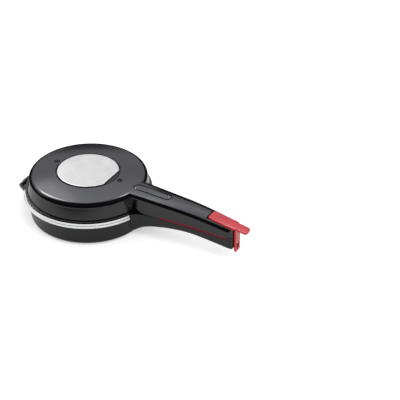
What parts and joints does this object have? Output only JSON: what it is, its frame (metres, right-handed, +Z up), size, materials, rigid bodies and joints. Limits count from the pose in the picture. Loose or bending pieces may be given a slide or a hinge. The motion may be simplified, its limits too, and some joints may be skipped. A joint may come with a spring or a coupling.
{
  "type": "hamburger maker",
  "caption": "Round electric clamshell cooker on a long two-part handle, with a hinged lid, two heated dished plates and a sprung red latch at the handle's end.",
  "frame": {"origin": "on the worktop, under the middle of the round head", "axes": "+X along the handle towards its latch, +Z up, hinge on the -X side"},
  "size_m": [0.3389, 0.176, 0.0693],
  "materials": {
    "black_plastic": "gloss",
    "red_plastic": "satin",
    "crimson_plastic": "satin",
    "inner_plastic": "matt",
    "white_plastic": "matt",
    "smoked_window": "smoked",
    "lamp_glass": "clear",
    "bright_steel": "polished",
    "screw_steel": "bright zinc",
    "badge_metal": "brushed",
    "plate_metal": "non-stick coated",
    "reflector_metal": "bright",
    "element_sheath": "dull",
    "spring_steel": "bright",
    "black_rubber": "matt"
  },
  "bodies": {
    "base": {"base_shell": "black_plastic", "rim_ring": "bright_steel", "rubber_feet": "black_rubber", "base_screws": "screw_steel", "lower_plate": "plate_metal", "lower_element": "element_sheath", "lower_reflector": "reflector_metal", "thermostat": "white_plastic", "thermal_fuse": "screw_steel", "terminal_block": "white_plastic", "cord_bush": "black_rubber", "handle_cover": "crimson_plastic", "handle_cover_screws": "screw_steel", "hinge_pin": "screw_steel", "hinge_pin_clip": "spring_steel"},
    "lid": {"lid_shell": "black_plastic", "lid_badge": "badge_metal", "lid_screws": "screw_steel", "pilot_window": "smoked_window", "pilot_lamps": "lamp_glass", "lamp_holder": "inner_plastic", "upper_plate": "plate_metal", "upper_element": "element_sheath", "upper_reflector": "reflector_metal", "handle_liner": "inner_plastic", "handle_liner_screws": "screw_steel", "latch_pin": "screw_steel", "latch_spring": "spring_steel"},
    "latch": {"latch_lever": "red_plastic"}
  },
  "joints": [
    {"name": "lid_hinge", "type": "hinge", "parent": "base", "child": "lid", "pos_m": [-0.0892, 0, 0.0348], "axis": [0, -1, 0], "range_deg": [0, 100]},
    {"name": "latch_pivot", "type": "hinge", "parent": "lid", "child": "latch", "pos_m": [0.213, 0, 0.04865], "axis": [0, -1, 0], "range_deg": [0, 8], "stiffness_Nm_per_rad": 0.4, "springref_deg": -8.59, "deforming": ["latch_spring"]}
  ]
}
